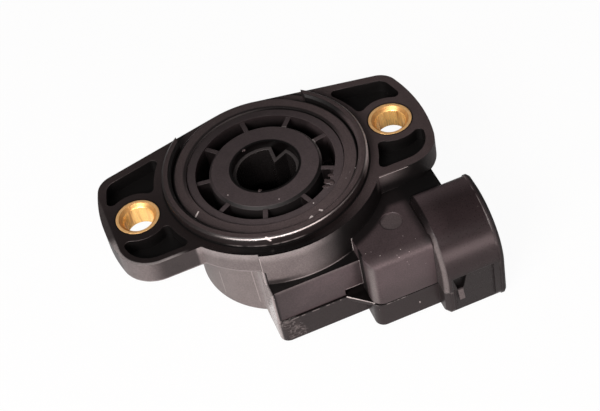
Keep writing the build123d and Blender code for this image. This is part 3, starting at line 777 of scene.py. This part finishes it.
def sleeve_plastic(look):
    """Dark smooth liner of the hub, with painted shade on its inner faces."""
    s = Shader("sleeve_plastic")
    # Painted shade: the faces that do not look up are darker.
    inside = s.mix(0.2, look.painted_shade, look.sleeve)
    tint = s.shade(s.mix(s.up, inside, look.sleeve), mottle(s, 0.2))
    drawn = s.noise(3.0, 3.0, s.stretched((4.0, 4.0, 0.4)))
    rough = s.blend(s.up, s.ramp(drawn, 0.3, 0.7, 0.2, 0.28), 0.5)
    return s.finish(tint, rough, s.bump(drawn, DRAWN_LINES, look.edge), gloss=SLEEVE_GLOSS)


def turned_brass(metal, edge):
    """Brass with a rosy face, a brown mouth and a bright streaked bore."""
    s = Shader("turned_brass")
    s.radius = from_bush(s)
    face = s.times(s.up, s.ramp(s.radius, 2.75, 2.85))
    bore = s.ramp(s.radius, 2.36, 2.3)
    film = s.ramp(s.noise(1.6, 5.0, rough=0.65), 0.35, 0.75)
    streaks = s.noise(1.1, 4.0, s.stretched((1.0, 1.0, 0.08)), 0.6)
    tint = s.mix(s.math("ADD", s.times(film, 0.25), 0.75), metal.brass, metal.tarnish)
    tint = s.mix(face, tint, s.mix(s.times(film, 0.3), metal.rose, metal.tarnish))
    gold = s.mix(s.ramp(streaks, 0.50, 0.66), metal.brass, metal.tarnish)
    gold = s.mix(s.ramp(streaks, 0.66, 0.74), gold, metal.stain)
    tint = s.mix(bore, tint, gold)
    lines = s.math("ADD", s.rings(14.0, 2.0), s.noise(5.0, 3.0, s.stretched((0.25, 0.25, 5.0))))
    rough = s.blend(bore, s.ramp(lines, 0.7, 1.3, 0.36, 0.48), s.ramp(streaks, 0.3, 0.7, 0.24, 0.36))
    return s.finish(tint, rough, s.bump(lines, TURNED_LINES, edge), metallic=0.6)


def rolled_metal(name, tint, rough, edge):
    """Strip metal with drawn lines and a cloudy tint."""
    s = Shader(name)
    lines = s.noise(2.2, 4.0, s.stretched((0.3, 5.0, 5.0)))
    cloudy = s.shade(tint, s.ramp(s.noise(0.8, 3.0), 0.3, 0.7, 0.82, 1.08))
    uneven = s.ramp(lines, 0.3, 0.7, rough - 0.06, rough + 0.08)
    return s.finish(cloudy, uneven, s.bump(lines, ROLLED_LINES, edge), metallic=1.0)


def fired_finish(name, tint, rough, edge):
    """Fired or printed layer with a fine speckle."""
    s = Shader(name)
    speckle = s.noise(7.0, 4.0, rough=0.7)
    cloudy = s.shade(tint, s.ramp(speckle, 0.3, 0.7, 0.86, 1.12))
    uneven = s.ramp(s.noise(3.0, 3.0), 0.3, 0.7, rough - 0.06, rough + 0.06)
    return s.finish(cloudy, uneven, s.bump(speckle, ROLLED_LINES, edge))


def lump(name, centre, size, turn, seed, body, material):
    """Small uneven blob of plastic left by the mould."""
    mesh = bpy.data.meshes.new(name)
    shape = bmesh.new()
    bmesh.ops.create_icosphere(shape, subdivisions=4, radius=1.0)
    for point in shape.verts:
        coarse = noise.noise(point.co * 1.7 + Vector((seed, 0.0, 0.0)))
        fine = noise.noise(point.co * 4.5 + Vector((0.0, seed, 0.0)))
        point.co *= 1.0 + 0.38 * coarse + 0.13 * fine
    for face in shape.faces:
        face.smooth = True
    scale = Matrix.Diagonal((*(value * MM for value in size), 1.0))
    rotation = Matrix.Rotation(math.radians(turn), 4, "Z")
    bmesh.ops.transform(shape, matrix=rotation @ scale, verts=shape.verts)
    shape.to_mesh(mesh)
    shape.free()
    mesh.materials.append(material)
    piece = bpy.data.objects.new(name, mesh)
    piece.location = Vector(centre) * MM
    bpy.context.scene.collection.objects.link(piece)
    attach(piece, body)


def flash_plastic(marks, edge):
    """Rough pale skin of moulding flash."""
    s = Shader("flash_plastic")
    crumbs = s.noise(4.0, 4.0, rough=0.65)
    tint = s.shade(marks.flash, s.ramp(crumbs, 0.3, 0.7, 0.7, 1.35))
    rough = s.ramp(crumbs, 0.3, 0.7, 0.4, 0.6)
    return s.finish(tint, rough, s.bump(crumbs, CRUMBS, edge))


class SENSOR_OT_housing(Operator):
    """Finish the front moulding with its flange, collar, block and plug shroud"""

    bl_idname = "sensor.housing"
    bl_label = "Housing"

    def execute(self, context):
        scene = context.scene
        dress("housing", housing_plastic(scene.sensor_plastic, scene.sensor_marks))
        return {"FINISHED"}


class SENSOR_OT_rear_case(Operator):
    """Finish the rear moulding with its cup and tray"""

    bl_idname = "sensor.rear_case"
    bl_label = "Rear case"

    def execute(self, context):
        scene = context.scene
        dress("rear_case", case_plastic(scene.sensor_plastic, scene.sensor_marks))
        return {"FINISHED"}


class SENSOR_OT_rotor(Operator):
    """Finish the spoked rotor and the folded sleeve in its hub"""

    bl_idname = "sensor.rotor"
    bl_label = "Rotor"

    def execute(self, context):
        scene = context.scene
        dress("rotor", rotor_plastic(scene.sensor_plastic, scene.sensor_marks))
        dress("drive_sleeve", sleeve_plastic(scene.sensor_plastic))
        return {"FINISHED"}


class SENSOR_OT_bushes(Operator):
    """Finish the two brass bushes in the ears"""

    bl_idname = "sensor.bushes"
    bl_label = "Bushes"

    def execute(self, context):
        scene = context.scene
        brass = turned_brass(scene.sensor_metal, scene.sensor_plastic.edge)
        for name in ("bush_left", "bush_right"):
            dress(name, brass)
        return {"FINISHED"}


class SENSOR_OT_contacts(Operator):
    """Finish the board, its tracks, the wiper and the terminals"""

    bl_idname = "sensor.contacts"
    bl_label = "Contacts"

    def execute(self, context):
        metal = context.scene.sensor_metal
        dress("track_board", fired_finish("fired_board", metal.board, 0.55, STRIP_EDGE))
        dress("resistive_track", fired_finish("carbon_film", metal.carbon, 0.5, STRIP_EDGE))
        dress("collector_track", rolled_metal("silver_film", metal.silver, 0.38, STRIP_EDGE))
        dress("wiper", rolled_metal("spring_strip", metal.spring, 0.3, STRIP_EDGE))
        tin = rolled_metal("tinned_strip", metal.tin, 0.3, STRIP_EDGE)
        for row in ("supply", "signal", "ground"):
            dress("terminal_" + row, tin)
        return {"FINISHED"}


class SENSOR_OT_mould_marks(Operator):
    """Add the lumps of flash that the mould left on the rotor"""

    bl_idname = "sensor.mould_marks"
    bl_label = "Mould marks"

    def execute(self, context):
        scene = context.scene
        skin = flash_plastic(scene.sensor_marks, scene.sensor_plastic.edge)
        for name, centre, size, turn, seed in FLASH:
            lump(name, centre, size, turn, seed, "rotor", skin)
        return {"FINISHED"}


class SENSOR_OT_stage(Operator):
    """Set the pale floor, the lamps and the camera"""

    bl_idname = "sensor.stage"
    bl_label = "Stage"

    def execute(self, context):
        stage = context.scene.sensor_stage
        make_floor(stage)
        add_lamp("key_lamp", (-0.31, -0.26, 0.295), (0.24, 0.24), stage.key, stage.lamp_tint)
        add_lamp("window_lamp", (0.015, -0.443, 0.072), (0.34, 0.148), stage.window, stage.window_tint)
        add_lamp("strip_lamp", (-0.105, -0.322, 0.295), (0.32, 0.018), stage.strip, stage.lamp_tint)
        make_sky(stage)
        add_camera(stage)
        context.scene.view_settings.view_transform = "Standard"
        return {"FINISHED"}


def floor_finish(stage):
    """Pale floor that reads white and still takes the shadow."""
    s = Shader("pale_floor")
    path = s.add("ShaderNodeLightPath")
    direct = s.most([path.outputs["Is Camera Ray"], path.outputs["Is Transmission Ray"]])
    # Painted light in the reflections: the floor that the sensor mirrors is brighter to the left and the
    # front than to the right and the back.
    bright = s.times(s.ramp(s.x, 45.0, -60.0, 0.05, 0.95), s.ramp(s.y, 70.0, 20.0, 0.15, 1.0))
    mirrored = s.times(path.outputs["Is Glossy Ray"], bright)
    seen = s.most([direct, mirrored])
    fibres = s.ramp(s.noise(0.2, 3.0), 0.3, 0.7, 0.985, 1.0)
    matt = s.add("ShaderNodeBsdfDiffuse")
    s.join(matt.inputs["Color"], s.shade(stage.floor, fibres))
    light = s.add("ShaderNodeEmission")
    light.inputs["Strength"].default_value = 1.0
    plain = s.add("ShaderNodeMixShader")
    plain.inputs[0].default_value = 0.95
    s.join(plain.inputs[1], matt.outputs[0])
    s.join(plain.inputs[2], light.outputs[0])
    chosen = s.add("ShaderNodeMixShader")
    s.join(chosen.inputs[0], seen)
    s.join(chosen.inputs[1], matt.outputs[0])
    s.join(chosen.inputs[2], plain.outputs[0])
    output = s.add("ShaderNodeOutputMaterial")
    s.join(output.inputs["Surface"], chosen.outputs[0])
    return s.material


def make_floor(stage):
    """Round floor that sweeps up into a low backdrop."""
    ground = CAD_BOX[0].z
    flat, sweep, top, bends, sides = 0.8, 0.3, 0.42, 12, 96
    profile = [(0.0, 0.0), (0.3, 0.0), (flat, 0.0)]
    for step in range(1, bends + 1):
        turn = math.radians(90 * step / bends)
        profile.append((flat + sweep * math.sin(turn), sweep - sweep * math.cos(turn)))
    profile.append((flat + sweep, top))
    mesh = bpy.data.meshes.new("floor")
    shape = bmesh.new()
    points = [shape.verts.new((reach, 0.0, ground + rise)) for reach, rise in profile]
    edges = [shape.edges.new(pair) for pair in zip(points, points[1:])]
    bmesh.ops.spin(
        shape, geom=points + edges, cent=(0.0, 0.0, 0.0), axis=(0.0, 0.0, 1.0),
        angle=math.tau, steps=sides, use_merge=True,
    )
    bmesh.ops.remove_doubles(shape, verts=shape.verts, dist=1e-6)
    bmesh.ops.recalc_face_normals(shape, faces=shape.faces)
    for face in shape.faces:
        face.smooth = True
    shape.to_mesh(mesh)
    shape.free()
    mesh.materials.append(floor_finish(stage))
    floor = bpy.data.objects.new("floor", mesh)
    bpy.context.scene.collection.objects.link(floor)


def add_lamp(name, place, size, watts, tint):
    """Soft lamp of a given width and height, aimed at the sensor."""
    data = bpy.data.lights.new(name, "AREA")
    data.shape = "RECTANGLE"
    data.size, data.size_y = size
    data.energy = watts
    data.color = tint
    lamp = bpy.data.objects.new(name, data)
    lamp.location = place
    lamp.rotation_euler = (-Vector(place)).to_track_quat("-Z", "Y").to_euler()
    bpy.context.scene.collection.objects.link(lamp)


def make_sky(stage):
    """Dim even light from all round."""
    world = bpy.data.worlds.new("sky")
    world.use_nodes = True
    background = world.node_tree.nodes["Background"]
    background.inputs["Color"].default_value = (1.0, 0.985, 0.975, 1.0)
    background.inputs["Strength"].default_value = stage.sky
    bpy.context.scene.world = world


def add_camera(stage):
    """Camera on the line of sight of the reference view."""
    sight = Vector((
        math.sin(stage.azimuth) * math.cos(stage.elevation),
        math.cos(stage.azimuth) * math.cos(stage.elevation),
        -math.sin(stage.elevation),
    ))
    right = sight.cross(Vector((0.0, 0.0, 1.0))).normalized()
    above = right.cross(sight)
    level = Matrix((right, above, -sight)).transposed()
    data = bpy.data.cameras.new("camera")
    data.lens = stage.lens
    data.sensor_width = 36.0
    data.clip_start = 0.01
    data.clip_end = 10.0
    camera = bpy.data.objects.new("camera", data)
    turned = level @ Matrix.Rotation(stage.roll, 3, "Z")
    place = Matrix.Translation(Vector(stage.aim) - sight * stage.distance)
    camera.matrix_world = place @ turned.to_4x4()
    bpy.context.scene.collection.objects.link(camera)
    bpy.context.scene.camera = camera


class SENSOR_PT_panel(Panel):
    """Lists the steps that dress the sensor"""

    bl_idname = "SENSOR_PT_panel"
    bl_label = "Throttle position sensor"
    bl_space_type = "VIEW_3D"
    bl_region_type = "UI"
    bl_category = "Sensor"

    def draw(self, context):
        for step in STEPS:
            self.layout.operator(step.bl_idname)
        for name in SETTINGS:
            box = self.layout.box()
            settings = getattr(context.scene, name)
            for key in settings.__annotations__:
                box.prop(settings, key)


SETTINGS = {
    "sensor_plastic": SensorPlastic,
    "sensor_metal": SensorMetal,
    "sensor_marks": SensorMarks,
    "sensor_stage": SensorStage,
}
STEPS = (
    SENSOR_OT_housing,
    SENSOR_OT_rear_case,
    SENSOR_OT_rotor,
    SENSOR_OT_bushes,
    SENSOR_OT_contacts,
    SENSOR_OT_mould_marks,
    SENSOR_OT_stage,
)
CLASSES = (*SETTINGS.values(), *STEPS, SENSOR_PT_panel)


def register():
    """Makes the settings, the steps and the panel known to Blender."""
    for item in CLASSES:
        bpy.utils.register_class(item)
    for name, group in SETTINGS.items():
        setattr(bpy.types.Scene, name, PointerProperty(type=group))


def unregister():
    """Takes them away again."""
    for name in SETTINGS:
        delattr(bpy.types.Scene, name)
    for item in reversed(CLASSES):
        bpy.utils.unregister_class(item)


def main():
    """Runs every step in order."""
    register()
    bpy.ops.sensor.housing()
    bpy.ops.sensor.rear_case()
    bpy.ops.sensor.rotor()
    bpy.ops.sensor.bushes()
    bpy.ops.sensor.contacts()
    bpy.ops.sensor.mould_marks()
    bpy.ops.sensor.stage()


if __name__ == "__main__":
    main()
